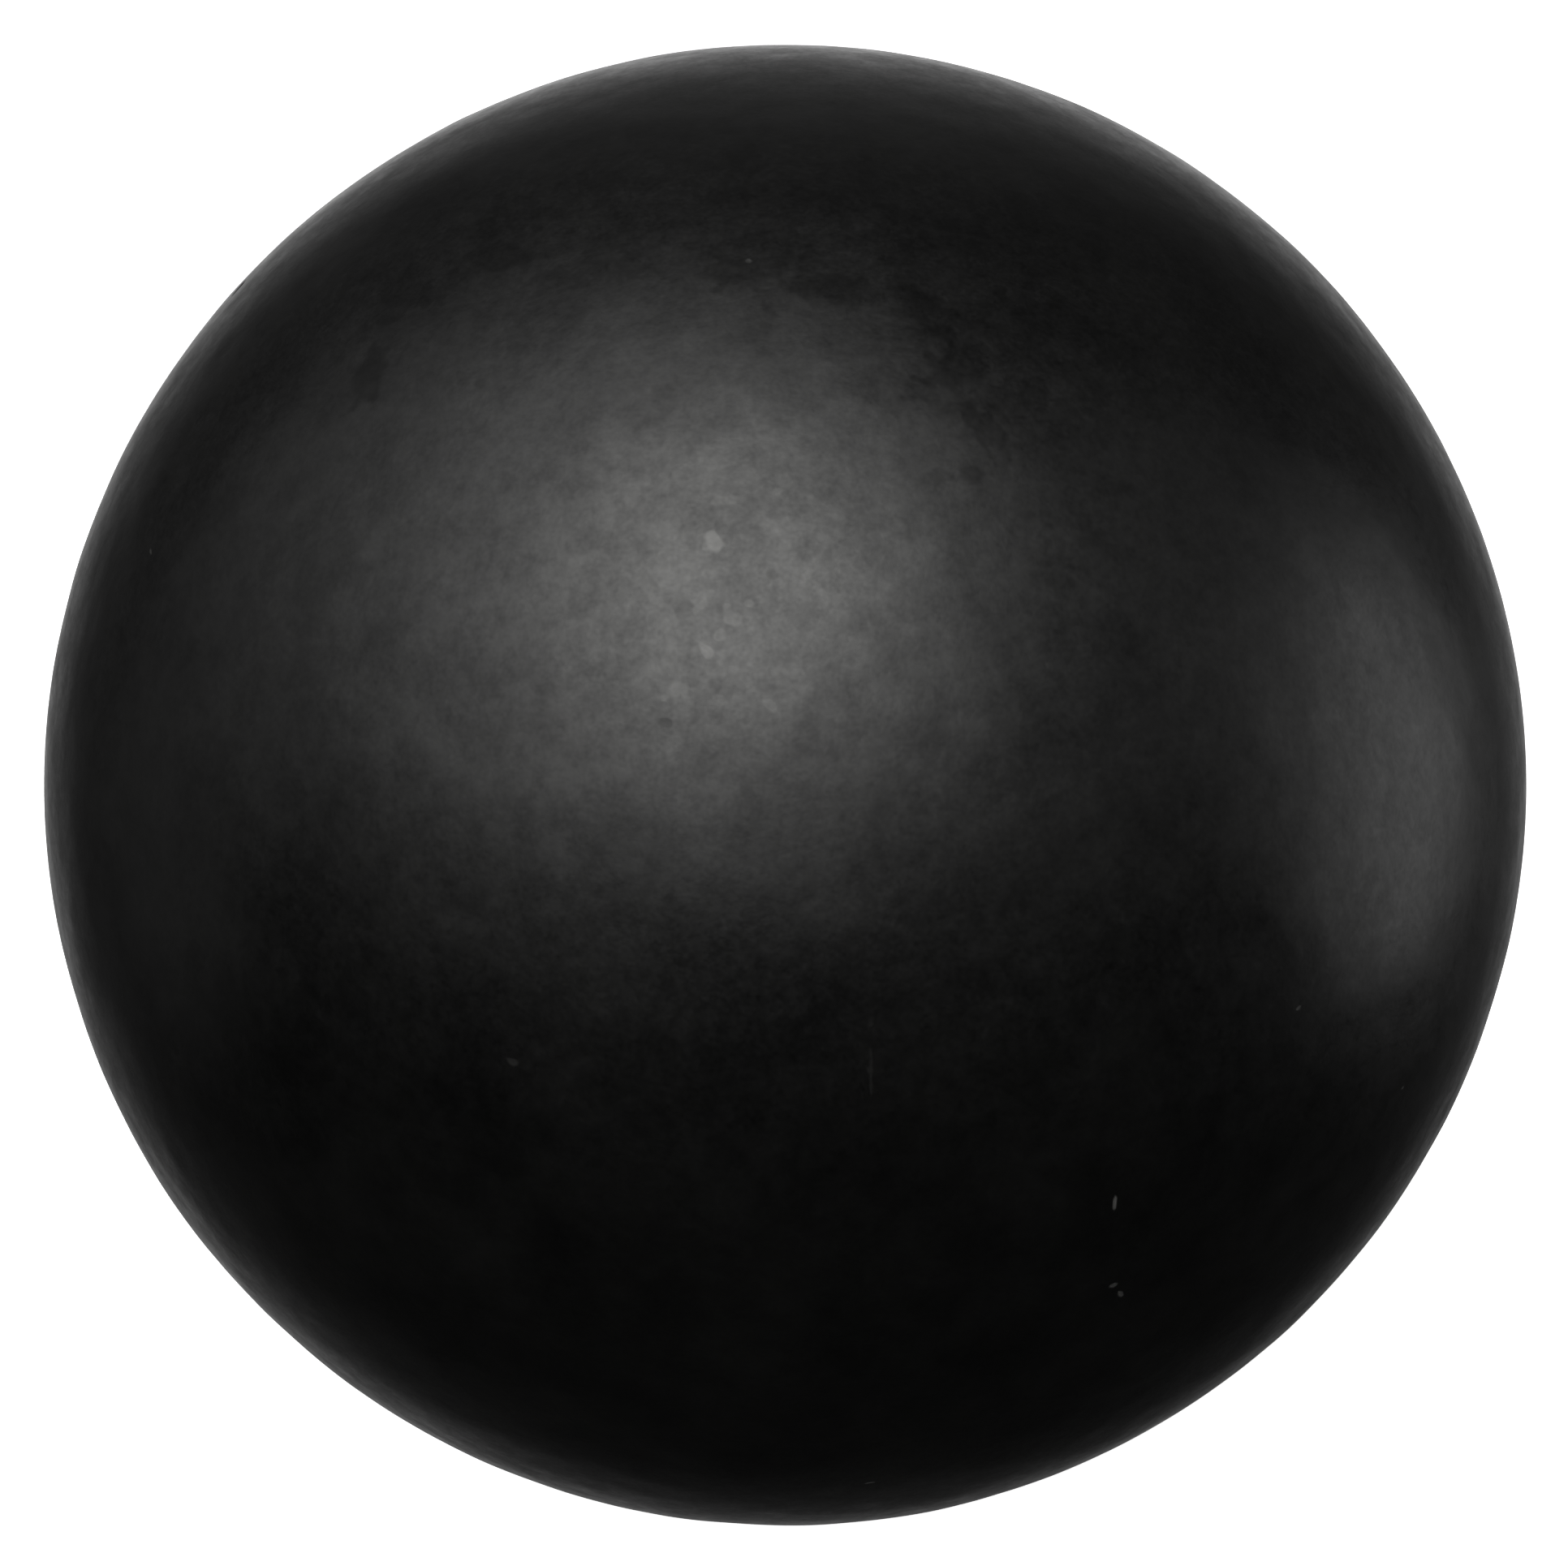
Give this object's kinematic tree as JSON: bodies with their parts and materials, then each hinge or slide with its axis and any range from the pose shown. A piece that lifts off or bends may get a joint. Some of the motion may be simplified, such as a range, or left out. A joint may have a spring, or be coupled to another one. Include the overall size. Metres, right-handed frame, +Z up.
{
  "type": "lawn bowl",
  "caption": "Black composition lawn bowl with a round running surface, flat sides with inlaid discs and rings, and an off-centre weight inside.",
  "frame": {"origin": "centre of the ball", "axes": "the rolling axis lies along X, with the plain side facing +X and the bias side, which holds the weight, facing -X; +Z is up when the bowl stands on its running surface, and -Y faces the viewer"},
  "size_m": [0.1174, 0.122, 0.122],
  "materials": {
    "skin_composition": "satin",
    "core_resin": "matte",
    "weight_brass": "satin",
    "plug_resin": "matte",
    "disc_ivory": "satin",
    "ring_ivory": "satin"
  },
  "bodies": {
    "root": {"core": "core_resin", "bias_side_shell": "skin_composition", "plain_side_shell": "skin_composition", "bias_weight": "weight_brass", "weight_plug": "plug_resin", "bias_side_disc": "disc_ivory", "bias_side_ring": "ring_ivory", "plain_side_disc": "disc_ivory", "plain_side_ring": "ring_ivory"}
  },
  "joints": []
}
